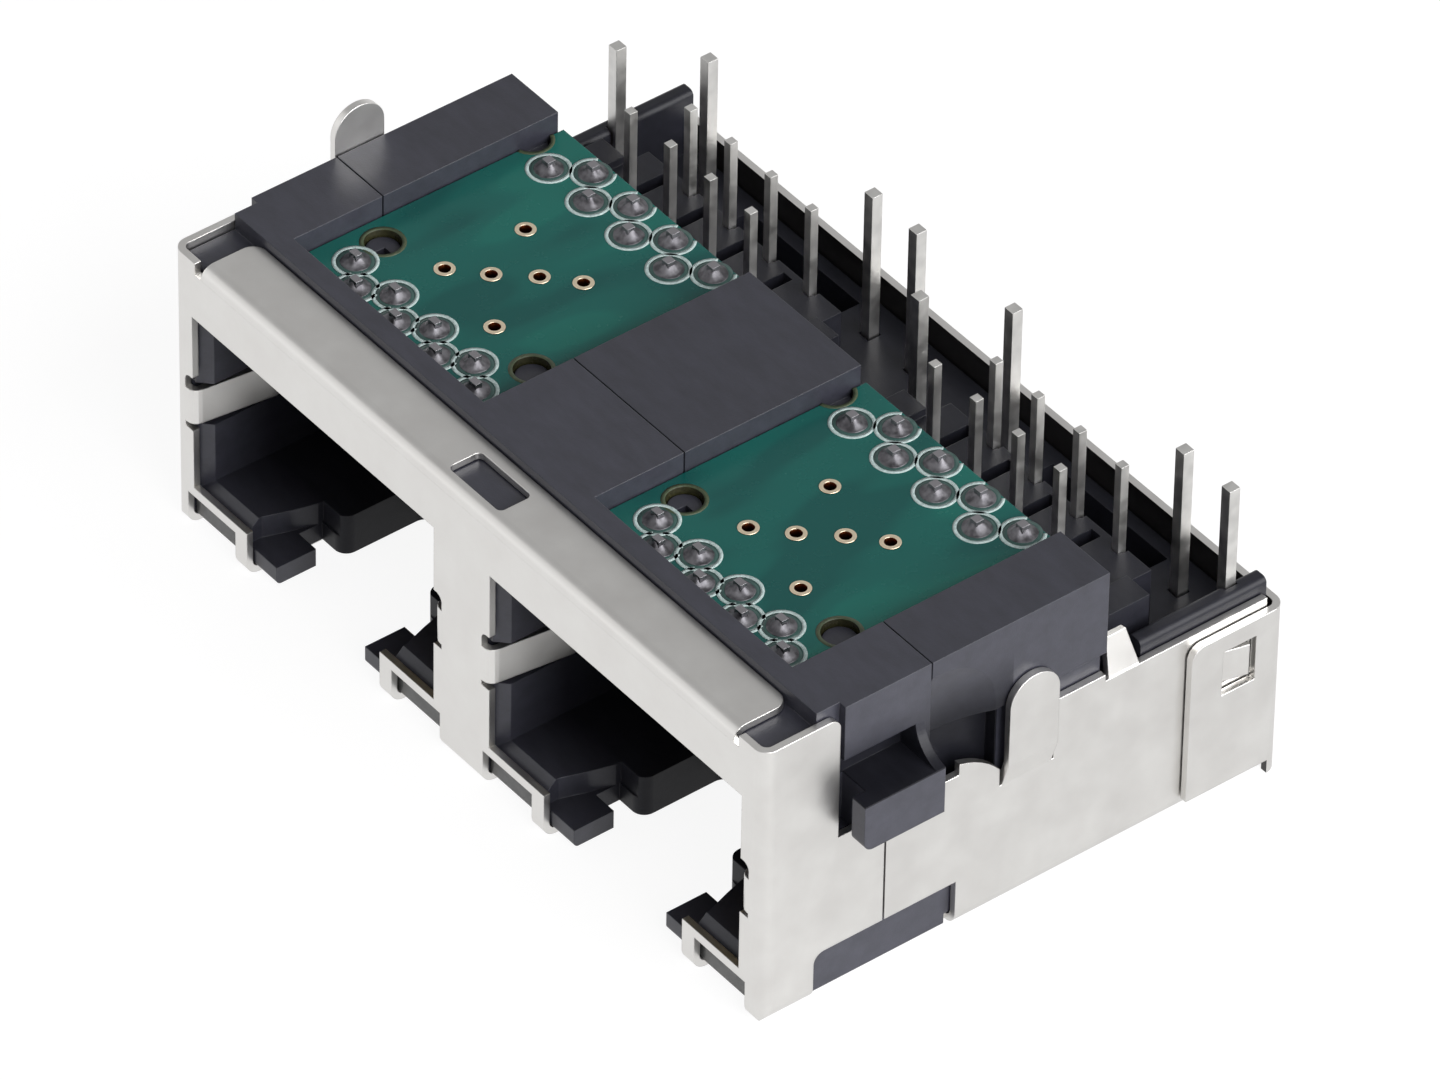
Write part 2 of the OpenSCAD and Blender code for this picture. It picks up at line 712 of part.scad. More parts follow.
module front_housing() {
    side_wall = 0.45;
    pocket_drop = 1.4;
    pocket_d = 2.8;
    color(black) placed() difference() {
        union() {
            // Lower body around the cavities, up to the carrier's deck
            core(0, plug_d, plug_top);
            // Front block up to the boards
            core(0, split_y, deck_z);
            // Front strip under and behind the flange
            intersection() {
                core(0, flange_d + fit, flange_low - fit);
                along_x(-half_w, half_w) rounded([inner_y, 0], [flange_d + fit, flange_low - fit],
                    [0, 0, 0, fold_r - sheet_t]);
            }
            box([-inner_x, flange_d + fit, deck_z - over], [inner_x, board_y - fit, bar_top]);
            // Bars beside and between the boards
            box([-port_x + bar_x, flange_d + fit, deck_z - over], [port_x - bar_x, split_y, bar_top]);
            both_sides() {
                box([port_x + bar_x, flange_d + fit, deck_z - over], [inner_x, split_y, bar_top]);
                side_lug();
                // Sill that fills the opening in the lower fold of the side wall
                box([half_w - fold_r + fit, fold_slot_y + fit, fit],
                    [inner_x, notch_end_y - 4 * fit, inner_z + over]);
            }
            // Locating pegs
            at_ports() for (s = [-1, 1]) peg(s * front_peg[0], front_peg[1]);
        }
        both_sides() {
            // Room for the skirts of the carrier's bars
            box([skirt_x - fit, split_y, skirt_z - fit], [half_w, body_d, bar_top + over]);
            // Pocket in the side wall below the skirt
            box([port_x + plug_w / 2 + side_wall, split_y, notch_z - pocket_drop],
                [half_w, split_y + pocket_d, skirt_z]);
            lug_niche();
        }
        at_ports() {
            plug_cavity();
            latch_channel();
            both_sides() {
                lamp_recess();
                finger_recess();
            }
            for (s = [-1, 1]) leads(s, fit);
            for (k = [1:8]) contact_slot(k);
        }
    }
}

// Side lug that stands on the notch of the side wall. A gusset at its rear end flares out of the
// flush side of the bar, and a niche above the lug cuts into that side.
lug_front_gap = 0.16;
lug_rear_gap = 0.2;
lug_y0 = flap_d + lug_front_gap;
lug_y1 = split_y - lug_rear_gap;
lug_z = notch_z + fit;
lug_top = lug_z + lug_h;
lug_corner_r = 0.35;
gusset_w = 0.35;
flare_rise = 0.25;
flare_r = lug_out + flare_rise;
flare_z = lug_top + sqrt(flare_r * flare_r - (flare_r - lug_out) * (flare_r - lug_out));
niche_d = 0.7;
niche_h = 1.15;
niche_top = lug_top + niche_h;
gap_x = 0.43;
gap_d = 0.5;
module side_lug() {
    // The flare runs this far into the side, so that it doesn't end in a thin edge
    graze = 0.01;
    box([inner_x - over, lug_y0, lug_z], [half_w, split_y, bar_top]);
    intersection() {
        along_y(lug_y0, lug_y1) difference() {
            translate([inner_x - over, lug_z])
                square([half_w + lug_out - inner_x + over, flare_z - lug_z]);
            translate([half_w + flare_r - graze, flare_z]) circle(flare_r);
        }
        along_x(inner_x - over, half_w + lug_out + over)
            rounded([lug_y0, lug_z], [lug_y1, flare_z], [lug_corner_r, 0, 0, 0]);
    }
}
module lug_niche() {
    along_y(lug_y0 - fit, lug_y1 - gusset_w) {
        rounded([half_w - niche_d, lug_top], [half_w + over, niche_top], [0, 0, 0, niche_d]);
        translate([half_w, lug_top]) square([lug_out + over, flare_z]);
    }
    // Gap behind the front corner of the lug
    box([half_w - niche_d, lug_y0 - fit, lug_z - fit], [half_w + gap_x, lug_y0 + gap_d, lug_top + fit]);
}

// Hollow in the side of the carrier's bar behind the lug, part of a large sphere
module side_scoop() {
    rim = 2.3;
    depth = 0.45;
    r = (rim * rim + depth * depth) / (2 * depth);
    behind = 0.25;
    above = 0.3;
    translate([half_w + r - depth, split_y + behind, skirt_z + above]) sphere(r, $fn = 96);
}

module lamp_recess() {
    box([lamp_mid_x - lamp_body_w / 2 - fit, 0, 0],
        [lamp_mid_x + lamp_body_w / 2 + fit, lamp_y + lamp_d + fit, lamp_top + fit]);
}

// Room for a spring finger behind the cavity wall
module finger_recess() {
    side_gap = 0.6;
    gap = 0.15;
    box([plug_w / 2 - over, 0, finger_z - gap],
        [plug_w / 2 + side_gap, finger_d + 2 * gap, finger_z + finger_h + gap]);
}

// Slot in the ceiling of the cavity for one contact
module contact_slot(k) {
    x = contact_x(k);
    y = contact_y(k);
    gap = 0.07;
    depth = 1.3;
    box([x - contact_w / 2 - gap, y - contact_t / 2 - gap, plug_top - over],
        [x + contact_w / 2 + gap, y + depth, deck_z + over]);
}

// Rib along a side wall with a rounded top, drawn for the right side
module rib(top) {
    corner_r = 0.2;
    along_y(rear_y - rib_len, rear_y - fit)
        rounded([inner_x - rib_w, base_z - over], [inner_x, top], [0, 0, corner_r, corner_r]);
}

module rear_carrier() {
    rear_lip = 0.5;
    slot_wall = 0.25;
    slot_end_y = pad_end_y - slot_wall;
    left_rib_rise = 0.1;
    color(black) placed() difference() {
        union() {
            // Deck under the boards and block behind the cavities
            box([-inner_x, split_y + fit, plug_top + fit], [inner_x, bar_end_y, deck_z]);
            core(plug_d + fit, bar_end_y, deck_z);
            // Bars
            box([-port_x + bar_x, split_y + fit, plug_top + fit], [port_x - bar_x, bar_end_y, bar_top]);
            both_sides() {
                box([port_x + bar_x, split_y + fit, plug_top + fit], [half_w, bar_end_y, bar_top]);
                box([skirt_x, split_y + fit, skirt_z], [half_w, bar_end_y, bar_top]);
            }
            // Base, pads around the pins and standoffs that the host board lies on
            core(plug_d + fit, rear_y, base_z);
            at_ports() {
                box([-pad_w / 2, bar_end_y - over, base_z - over], [pad_w / 2, pad_end_y, pad_z]);
                both_sides() box([pad_w / 2, bar_end_y - over, base_z - over],
                    [seat_x, seat_end_y, seat_z]);
            }
            rib(rear_wall_h + rib_rise);
            mirror([1, 0, 0]) rib(pad_z + left_rib_rise);
            // Rear locating pegs
            at_ports() for (s = [-1, 1]) peg(s * rear_peg[0], rear_peg[1]);
        }
        at_ports() {
            for (k = [1:8]) pin_form(k, snug);
            // Slots behind the pins, which are open to the rear for the farther row
            for (k = [1:8]) box([contact_x(k) - slot_w / 2, tail_y(k), pin_run_z - pin_t / 2 - snug],
                [contact_x(k) + slot_w / 2, k % 2 == 0 ? pad_end_y + over : slot_end_y, pad_z + over]);
            // Trench behind the pads
            box([-trench_w / 2, pad_end_y, trench_z], [trench_w / 2, rear_y - rear_lip, base_z + over]);
            for (s = [-1, 1]) leads(s, fit);
        }
        both_sides() side_scoop();
    }
}

module board(side) {
    color(board_green) placed() translate([side * port_x, 0, 0]) difference() {
        box([-board_w / 2, board_y, deck_z], [board_w / 2, board_end_y, board_top]);
        for (k = [1:8], y = [contact_y(k), board_pin_y(k)])
            translate([contact_x(k), y, deck_z - over]) cylinder(d = hole_d, h = board_t + 2 * over);
        for (v = vias) translate([v[0], board_y + v[1], deck_z - over])
            cylinder(d = via_d, h = board_t + 2 * over, $fn = 24);
        for (s = [-1, 1], p = [front_peg, rear_peg])
            translate([s * p[0], p[1], deck_z - over])
                cylinder(d = peg_hole_d, h = board_t + 2 * over);
    }
}

// Solder joint around a square wire of width w and depth d at the origin
module solder_joint(w, d) {
    land = 0.15;
    land_gap = 0.01;
    shoulder_h = 0.1;
    top_r = 0.2;
    difference() {
        rotate_extrude($fn = 24) polygon([[0, -board_t], [hole_d / 2 - snug, -board_t],
            [hole_d / 2 - snug, land_gap], [hole_d / 2 + land, land_gap],
            [hole_d / 2, shoulder_h], [top_r, solder_h], [0, solder_h]]);
        translate([0, 0, -board_t]) cube([w + 2 * snug, d + 2 * snug, 4 * board_t], center = true);
    }
}

module front_solder(side) {
    color(solder_grey) placed() translate([side * port_x, 0, board_top])
        for (k = [1:8]) translate([contact_x(k), contact_y(k), 0])
            solder_joint(contact_w, contact_t);
}

module rear_solder(side) {
    color(solder_grey) placed() translate([side * port_x, 0, board_top])
        for (k = [1:8]) translate([contact_x(k), board_pin_y(k), 0]) solder_joint(pin_t, pin_t);
}

// A lamp or its pair of leads: port is -1 for the left port and 1 for the right one, and s is the
// side of the port that it is on
module lamp_at(port, s) {
    color(lamp_grey) placed() translate([port * port_x, 0, 0])
        mirror([s < 0 ? 1 : 0, 0, 0]) lamp();
}

module leads_at(port, s) {
    color(tin) placed() translate([port * port_x, 0, 0]) leads(s, 0);
}

main_shield();
rear_shield();
front_housing();
rear_carrier();
board(-1);  // left_board
board(1);  // right_board
front_solder(-1);  // left_front_solder
rear_solder(-1);  // left_rear_solder
front_solder(1);  // right_front_solder
rear_solder(1);  // right_rear_solder
lamp_at(-1, -1);  // left_outer_lamp
lamp_at(-1, 1);  // left_inner_lamp
lamp_at(1, -1);  // right_inner_lamp
lamp_at(1, 1);  // right_outer_lamp
leads_at(-1, -1);  // left_outer_lamp_leads
leads_at(-1, 1);  // left_inner_lamp_leads
leads_at(1, -1);  // right_inner_lamp_leads
leads_at(1, 1);  // right_outer_lamp_leads
contact(-1, 1);  // left_contact_1
contact(-1, 2);  // left_contact_2
contact(-1, 3);  // left_contact_3
contact(-1, 4);  // left_contact_4
contact(-1, 5);  // left_contact_5
contact(-1, 6);  // left_contact_6
contact(-1, 7);  // left_contact_7
contact(-1, 8);  // left_contact_8
contact(1, 1);  // right_contact_1
contact(1, 2);  // right_contact_2
contact(1, 3);  // right_contact_3
contact(1, 4);  // right_contact_4
contact(1, 5);  // right_contact_5
contact(1, 6);  // right_contact_6
contact(1, 7);  // right_contact_7
contact(1, 8);  // right_contact_8
signal_pin(-1, 1);  // left_signal_pin_1
signal_pin(-1, 2);  // left_signal_pin_2
signal_pin(-1, 3);  // left_signal_pin_3
signal_pin(-1, 4);  // left_signal_pin_4
signal_pin(-1, 5);  // left_signal_pin_5
signal_pin(-1, 6);  // left_signal_pin_6
signal_pin(-1, 7);  // left_signal_pin_7
signal_pin(-1, 8);  // left_signal_pin_8
signal_pin(1, 1);  // right_signal_pin_1
signal_pin(1, 2);  // right_signal_pin_2
signal_pin(1, 3);  // right_signal_pin_3
signal_pin(1, 4);  // right_signal_pin_4
signal_pin(1, 5);  // right_signal_pin_5
signal_pin(1, 6);  // right_signal_pin_6
signal_pin(1, 7);  // right_signal_pin_7
signal_pin(1, 8);  // right_signal_pin_8
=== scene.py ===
# %% [markdown]
# # A two-port network jack on a pale table
# The object is a low network jack that hangs in a cut-out of a host board. It lies on its top panel, so
# its two small green boards, its solder pins and the folded flange of its shield look up.
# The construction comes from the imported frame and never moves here. These cells give every piece its
# finish, and add what is too thin for the construction: print, plating rings, solder and bare rims.

import math

import bpy
import numpy as np
from mathutils import Matrix, Vector


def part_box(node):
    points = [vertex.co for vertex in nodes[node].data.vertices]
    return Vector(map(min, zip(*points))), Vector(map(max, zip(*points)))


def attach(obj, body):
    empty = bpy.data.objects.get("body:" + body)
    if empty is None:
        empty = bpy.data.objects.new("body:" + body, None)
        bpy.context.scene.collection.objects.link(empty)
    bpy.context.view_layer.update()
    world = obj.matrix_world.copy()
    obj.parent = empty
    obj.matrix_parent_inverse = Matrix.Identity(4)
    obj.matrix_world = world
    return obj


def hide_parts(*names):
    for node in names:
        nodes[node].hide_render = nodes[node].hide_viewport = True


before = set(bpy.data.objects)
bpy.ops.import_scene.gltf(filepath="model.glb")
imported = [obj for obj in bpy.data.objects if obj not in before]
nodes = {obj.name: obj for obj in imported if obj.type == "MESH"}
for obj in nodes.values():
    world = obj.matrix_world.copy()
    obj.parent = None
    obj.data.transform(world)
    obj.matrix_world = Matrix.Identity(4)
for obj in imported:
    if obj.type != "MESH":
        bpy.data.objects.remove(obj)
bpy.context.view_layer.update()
MM = 0.001
print("CAD nodes:", len(nodes))

# %% [markdown]
# ## The camera
# A photograph taken from far away with a long lens keeps parallel edges almost parallel. The viewing
# angle is given as a turn round the object, a height above it and a small roll, and the camera stands on
# the ray that these name. Turning the three rotations into one matrix keeps each of them readable.

# %% Camera
AZIMUTH = math.radians(51.43)
ELEVATION = math.radians(41.02)
ROLL = math.radians(1.05)
DISTANCE = 439.3 * MM
AIM = Vector((1.12, -0.917, 5.219)) * MM
SENSOR = 36.0
LENS = 356.95


def turn(azimuth, elevation, roll=0.0):
    """Rotation that looks at the origin from a height: roll about the view axis, then tip, then turn."""
    return (
        Matrix.Rotation(azimuth, 4, "Z")
        @ Matrix.Rotation(math.pi / 2 - elevation, 4, "X")
        @ Matrix.Rotation(roll, 4, "Z")
    )


def place(obj, rotation, distance, aim):
    """Stand obj at a distance from aim, looking at it along its own -Z."""
    obj.matrix_world = Matrix.Translation(aim) @ rotation @ Matrix.Translation((0, 0, distance))
    bpy.context.scene.collection.objects.link(obj)


lens = bpy.data.cameras.new("camera")
lens.sensor_width = SENSOR
lens.lens = LENS
camera = bpy.data.objects.new("camera", lens)
place(camera, turn(AZIMUTH, ELEVATION, ROLL), DISTANCE, AIM)
bpy.context.scene.camera = camera
print("camera stands at", [round(v, 4) for v in camera.matrix_world.translation])

# %% [markdown]
# ## Soft studio light
# Black plastic and plated sheet show mostly what they reflect. A world that is bright near the horizon and
# grey overhead gives the folded flange its darker tone and the upright faces their light one. One large
# softbox on the right lights the side walls, and a weaker one at the front left brightens the fold between
# the flange and the port face.

# %% Lamps
LAMP_DISTANCE = 400 * MM


def softbox(name, azimuth, elevation, size, level):
    """Square area lamp. A white surface that faces it gets the brightness level, so its power is
    level times pi squared times the distance squared."""
    light = bpy.data.lights.new(name, "AREA")
    light.size = size
    light.energy = level * math.pi**2 * LAMP_DISTANCE**2
    lamp = bpy.data.objects.new(name, light)
    place(lamp, turn(math.radians(azimuth), math.radians(elevation)), LAMP_DISTANCE, AIM)
    return lamp


key = softbox("key_softbox", 100, 24, 520 * MM, 2.6)
fold = softbox("fold_softbox", -38, 28, 330 * MM, 0.10)
print("lamp powers, W:", round(key.data.energy, 3), round(fold.data.energy, 3))

# %% [markdown]
# ## Helpers for shader nodes
# A finish is a small network of nodes. These helpers add a node, feed a socket with a number or with
# another socket, and split a direction into its three parts, so each finish below reads as a recipe.


# %% Helpers for nodes
def add(tree, kind, inputs=None, **settings):
    """Add a shader node: settings are its properties, inputs its sockets by name."""
    node = tree.nodes.new("ShaderNode" + kind)
    for key, value in settings.items():
        setattr(node, key, value)
    for key, value in (inputs or {}).items():
        node.inputs[key].default_value = value
    return node


def feed(tree, value, socket):
    """Give an input its value: a socket is linked to it, and a number or colour is set on it."""
    if isinstance(value, bpy.types.NodeSocket):
        tree.links.new(value, socket)
    else:
        socket.default_value = value


def compute(tree, operation, *values):
    """Result of one Math operation on numbers or sockets."""
    node = add(tree, "Math", operation=operation)
    for value, socket in zip(values, node.inputs):
        feed(tree, value, socket)
    return node.outputs["Value"]


def carry(tree, source, start, stop, low=0.0, high=1.0):
    """Carry a value over from the range start to stop to the range low to high, and stay within it."""
    node = add(tree, "MapRange", {"From Min": start, "From Max": stop, "To Min": low, "To Max": high})
    tree.links.new(source, node.inputs["Value"])
    return node.outputs["Result"]


def axes(tree, kind, vector):
    """X, Y and Z of one output of a new node of that kind, as three sockets with those names."""
    parts = add(tree, "SeparateXYZ")
    tree.links.new(add(tree, kind).outputs[vector], parts.inputs["Vector"])
    return parts.outputs


def ramp(tree, source, *stops):
    """Colour ramp fed by the socket source. Each stop is a position and a grey or a colour."""
    node = add(tree, "ValToRGB")
    elements = node.color_ramp.elements
    while len(elements) < len(stops):
        elements.new(0.5)
    for element, (position, color) in zip(elements, stops):
        element.position = position
        grey = not hasattr(color, "__len__")
        element.color = (color, color, color, 1) if grey else (*color, 1)
    tree.links.new(source, node.inputs["Fac"])
    return node.outputs["Color"]


# %% [markdown]
# ## The world
# The world stands for the white walls and the grey ceiling of the studio. Mirrors see them in full, matt
# surfaces get only a third of their light, and the camera sees plain white.

# %% World
DIFFUSE_SHARE = 0.33
scene = bpy.context.scene
scene.view_settings.view_transform = "Standard"
world = bpy.data.worlds.new("studio")
world.use_nodes = True
scene.world = world
sky = world.node_tree
sky.nodes.clear()
height = axes(sky, "TexCoord", "Generated")["Z"]
tone = ramp(sky, height, (0.0, 0.9), (0.2, 0.7), (0.5, 0.5), (1.0, 0.42))
rays = add(sky, "LightPath").outputs
studio = add(sky, "Background")
white = add(sky, "Background", {"Strength": 1.0, "Color": (1, 1, 1, 1)})
choose = add(sky, "MixShader")
level = carry(sky, rays["Is Diffuse Ray"], 0.0, 1.0, 1.0, DIFFUSE_SHARE)
sky.links.new(level, studio.inputs["Strength"])
sky.links.new(tone, studio.inputs["Color"])
sky.links.new(rays["Is Camera Ray"], choose.inputs["Fac"])
sky.links.new(studio.outputs["Background"], choose.inputs[1])
sky.links.new(white.outputs["Background"], choose.inputs[2])
sky.links.new(choose.outputs["Shader"], add(sky, "OutputWorld").inputs["Surface"])
print("matt surfaces get", DIFFUSE_SHARE, "of the world's light")

# %% [markdown]
# ## The table
# The background of the picture is plain white paper. The camera and mirrors see it mostly as white, and
# the rest of its brightness is real, so the jack keeps a soft shadow where it rests. The mirror image is a
# little brighter in front of the ports, so the port face reflects lighter paper than the side walls do.

# %% Table
TABLE_SIZE = 3.0
half = TABLE_SIZE / 2
corners = [(-half, -half, 0), (half, -half, 0), (half, half, 0), (-half, half, 0)]
table_mesh = bpy.data.meshes.new("table")
table_mesh.from_pydata(corners, [], [(0, 1, 2, 3)])
table = bpy.data.objects.new("table", table_mesh)
scene.collection.objects.link(table)

# %% Paper
PAPER_WHITE = 0.9
PAPER_ROUGHNESS = 0.9
MIRROR_SHARE = 0.93
MIRROR_NEAR = 0.98
MIRROR_FAR = 0.84
GLOW_FRONT = -12 * MM
GLOW_BACK = -2 * MM
CAMERA_SHARE = 0.83
CAMERA_LEVEL = 1.10

paper = bpy.data.materials.new("paper")
paper.use_nodes = True
tree = paper.node_tree
lit = tree.nodes["Principled BSDF"]
lit.inputs["Base Color"].default_value = (PAPER_WHITE, PAPER_WHITE, PAPER_WHITE, 1)
lit.inputs["Roughness"].default_value = PAPER_ROUGHNESS
lit.inputs["Specular IOR Level"].default_value = 0.0
seen_by = add(tree, "LightPath").outputs


def glow(ray, level, share):
    """Let rays of one kind see that share of the paper as a light of the given level."""
    light = add(tree, "Emission")
    feed(tree, level, light.inputs["Strength"])
    mix = add(tree, "MixShader")
    surface = tree.nodes["Material Output"].inputs["Surface"]
    tree.links.new(compute(tree, "MULTIPLY", seen_by[ray], share), mix.inputs["Fac"])
    tree.links.new(surface.links[0].from_socket, mix.inputs[1])
    tree.links.new(light.outputs["Emission"], mix.inputs[2])
    tree.links.new(mix.outputs["Shader"], surface)


depth = axes(tree, "TexCoord", "Object")["Y"]
glow("Is Glossy Ray", carry(tree, depth, GLOW_FRONT, GLOW_BACK, MIRROR_NEAR, MIRROR_FAR), MIRROR_SHARE)
glow("Is Camera Ray", CAMERA_LEVEL, CAMERA_SHARE)
table_mesh.materials.append(paper)
print("table:", TABLE_SIZE, "m wide, paper seen at", CAMERA_LEVEL)

# %% [markdown]
# ## Finishes
# Every finish is a physical shader with up to three layers of detail: a pattern that varies its colour, one
# that varies its gloss, and a relief. All patterns read Object coordinates, so they stay on the piece from
# any side. Real edges are never knife sharp, so on the larger pieces the relief starts from a slightly
# rounded normal.


# %% Helpers for finishes
def finish(name, color, roughness, metallic=0.0):
    """New material with constant colour, roughness and metal on the shader's own sockets."""
    material = bpy.data.materials.new(name)
    material.use_nodes = True
    shader = material.node_tree.nodes["Principled BSDF"]
    shader.inputs["Base Color"].default_value = (*color, 1)
    shader.inputs["Roughness"].default_value = roughness
    shader.inputs["Metallic"].default_value = metallic
    return material, material.node_tree, shader


def grain(tree, size, stretch=(1, 1, 1), detail=3.0, rough=0.55):
    """Noise whose grains are about size across, stretched by the given factors along X, Y and Z."""
    coords = add(tree, "TexCoord")
    squeeze = add(tree, "Mapping")
    squeeze.inputs["Scale"].default_value = [1 / factor for factor in stretch]
    noise = add(tree, "TexNoise", {"Scale": 1 / size, "Detail": detail, "Roughness": rough})
    tree.links.new(coords.outputs["Object"], squeeze.inputs["Vector"])
    tree.links.new(squeeze.outputs["Vector"], noise.inputs["Vector"])
    return noise.outputs["Fac"]


def spread(tree, source, low, high):
    """Carry a noise value, which stays mostly between 0.3 and 0.7, over to the range low to high."""
    return carry(tree, source, 0.3, 0.7, low, high)


def rounded_edge(tree, radius):
    """Normal of the surface with its edges rounded by radius, for the light only."""
    return add(tree, "Bevel", {"Radius": radius}, samples=6).outputs["Normal"]


def relief(tree, source, depth, normal=None):
    """Normal after adding a height pattern of that depth, on top of another normal."""
    node = add(tree, "Bump", {"Distance": depth, "Strength": 1.0})
    tree.links.new(source, node.inputs["Height"])
    if normal is not None:
        tree.links.new(normal, node.inputs["Normal"])
    return node.outputs["Normal"]


def recolor(material, share, color):
    """Turn the colour that the finish has so far into another, by a share. Both are sockets or values."""
    tree = material.node_tree
    base = tree.nodes["Principled BSDF"].inputs["Base Color"]
    mix = add(tree, "Mix", data_type="RGBA")
    feed(tree, share, mix.inputs["Factor"])
    tree.links.new(base.links[0].from_socket, mix.inputs["A"])
    feed(tree, color, mix.inputs["B"])
    tree.links.new(mix.outputs["Result"], base)
    return material


def mottled(name, color, roughness, size, *stops, depth):
    """Finish whose colour and relief follow one cloudy pattern with grains about size across. Each stop
    is a level of the pattern and its colour, and depth is the height of the relief."""
    material, tree, shader = finish(name, color, roughness)
    cloud = grain(tree, size)
    tree.links.new(ramp(tree, cloud, *stops), shader.inputs["Base Color"])
    tree.links.new(relief(tree, cloud, depth), shader.inputs["Normal"])
    return material


def dress(material, *names):
    """Give these CAD nodes the material."""
    for name in names:
        mesh = nodes[name].data
        mesh.materials.clear()
        mesh.materials.append(material)


def named(part):
    """CAD nodes whose names hold the given part."""
    return [name for name in nodes if part in name]


# %% [markdown]
# ### Plated sheet
# The shield is thin steel strip with a satin nickel plate. Rolling leaves fine lines along the strip,
# and punching and folding leave it very slightly wavy, which is what breaks up its wide reflections.
# Behind the pins the inside of the rear wall lies in deep shade, so a copy of the finish carries painted
# shade: it is black and not metallic where it faces the ports and lies within the wall.


# %% Shield
INWARD = -0.7


def plated_sheet():
    """Satin plate: fine rolling lines, slow waves of the sheet, and a cloudy colour and gloss."""
    material, tree, shader = finish("satin_nickel", (0.74, 0.725, 0.705), 0.33, 1.0)
    lines = grain(tree, 0.035 * MM, stretch=(60, 1, 1), detail=2.0)
    waves = grain(tree, 4.5 * MM, detail=1.0)
    cloud = grain(tree, 1.3 * MM, detail=4.0)
    tree.links.new(spread(tree, cloud, 0.29, 0.38), shader.inputs["Roughness"])
    tree.links.new(
        ramp(tree, cloud, (0.3, (0.72, 0.705, 0.685)), (0.7, (0.765, 0.755, 0.735))),
        shader.inputs["Base Color"],
    )
    normal = rounded_edge(tree, 0.05 * MM)
    normal = relief(tree, waves, 0.03 * MM, normal)
    normal = relief(tree, lines, 0.001 * MM, normal)
    tree.links.new(normal, shader.inputs["Normal"])
    return material


def painted_shade_sheet(from_y):
    """Plated sheet with painted shade, black and not metallic, where it lies behind the place from_y along Y
    and faces the ports, which is where the Y of its normal is below INWARD."""
    material = plated_sheet()
    material.name = "nickel_with_painted_shade"
    tree = material.node_tree
    # Painted shade: this mask is 1 on the inward faces of the rear wall, where the sheet turns black.
    behind = compute(tree, "GREATER_THAN", axes(tree, "TexCoord", "Object")["Y"], from_y)
    inward = compute(tree, "LESS_THAN", axes(tree, "NewGeometry", "True Normal")["Y"], INWARD)
    painted_shade_mask = compute(tree, "MULTIPLY", behind, inward)
    painted_shade_color = ramp(tree, grain(tree, 0.3 * MM), (0.3, (0.006, 0.005, 0.005)), (0.7, (0.011, 0.010, 0.010)))
    recolor(material, painted_shade_mask, painted_shade_color)
    # Painted shade also takes the metal away there; bare is the share that stays metallic.
    bare = compute(tree, "SUBTRACT", 1.0, painted_shade_mask)
    tree.links.new(bare, tree.nodes["Principled BSDF"].inputs["Metallic"])
    return material


REAR_WALL = 0.6 * MM
dress(plated_sheet(), "main_shield")
# The rear shield gets painted shade on the inside of its rear wall.
dress(painted_shade_sheet(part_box("rear_shield")[1].y - REAR_WALL), "rear_shield")
print("plated:", named("shield"))

# %% [markdown]
# ### Black mouldings
# The housing and the carrier are black glass-filled plastic. It is a very dark grey with a touch of blue,
# and much of what shows is the sheen of its skin, so the shader gets little colour and a strong reflection.
# A fine matt texture, soft flow marks and scuffs break up that sheen. Deep in the ports, behind the bars
# where the pads lie between the walls, and in the niches and pockets beside the side lugs, shade falls, and
# the finish carries it as painted shade: a helper takes colour and sheen away there by the place on the
# piece, so each moulding keeps one finish and shows no edge where the painted shade starts.


# %% Mouldings
SHEEN = 0.55


def moulding(name, color, gloss):
    """Dark moulded plastic: fine texture, broad flow marks, and a gloss that varies by both."""
    material, tree, shader = finish(name, color, gloss)
    shader.inputs["Specular IOR Level"].default_value = SHEEN
    skin = grain(tree, 0.05 * MM, detail=2.0)
    flow = grain(tree, 1.6 * MM, stretch=(1, 2.5, 1), detail=4.0)
    scuff = grain(tree, 0.5 * MM, stretch=(3, 1, 1), detail=6.0, rough=0.7)
    dark = tuple(0.8 * part for part in color)
    pale = tuple(1.25 * part for part in color)
    tree.links.new(ramp(tree, scuff, (0.3, dark), (0.75, pale)), shader.inputs["Base Color"])
    tree.links.new(spread(tree, flow, gloss - 0.05, gloss + 0.07), shader.inputs["Roughness"])
    normal = rounded_edge(tree, 0.045 * MM)
    normal = relief(tree, flow, 0.01 * MM, normal)
    normal = relief(tree, skin, 0.003 * MM, normal)
    tree.links.new(normal, shader.inputs["Normal"])
    return material


def paint_shade(material, axis, start, stop, share, limits=()):
    """Paint shade: take colour and sheen away between the places start and stop along an axis, down to a
    share. Each limit names an axis, a middle and the reach round it outside which nothing changes. X is
    the distance from the middle plane, so the left and right sides get the same."""
    tree = material.node_tree
    shader = tree.nodes["Principled BSDF"]
    parts = axes(tree, "TexCoord", "Object")
    places = {"X": compute(tree, "ABSOLUTE", parts["X"]), "Y": parts["Y"], "Z": parts["Z"]}
    inside = carry(tree, places[axis], start, stop)
    for limit, middle, reach in limits:
        inside = compute(tree, "MULTIPLY", compute(tree, "COMPARE", places[limit], middle, reach), inside)
    level = carry(tree, inside, 0.0, 1.0, 1.0, share)
    color = add(tree, "VectorMath", operation="SCALE")
    tree.links.new(shader.inputs["Base Color"].links[0].from_socket, color.inputs["Vector"])
    tree.links.new(level, color.inputs["Scale"])
    tree.links.new(color.outputs["Vector"], shader.inputs["Base Color"])
    sheen = shader.inputs["Specular IOR Level"]
    so_far = sheen.links[0].from_socket if sheen.links else SHEEN
    tree.links.new(compute(tree, "MULTIPLY", level, so_far), sheen)
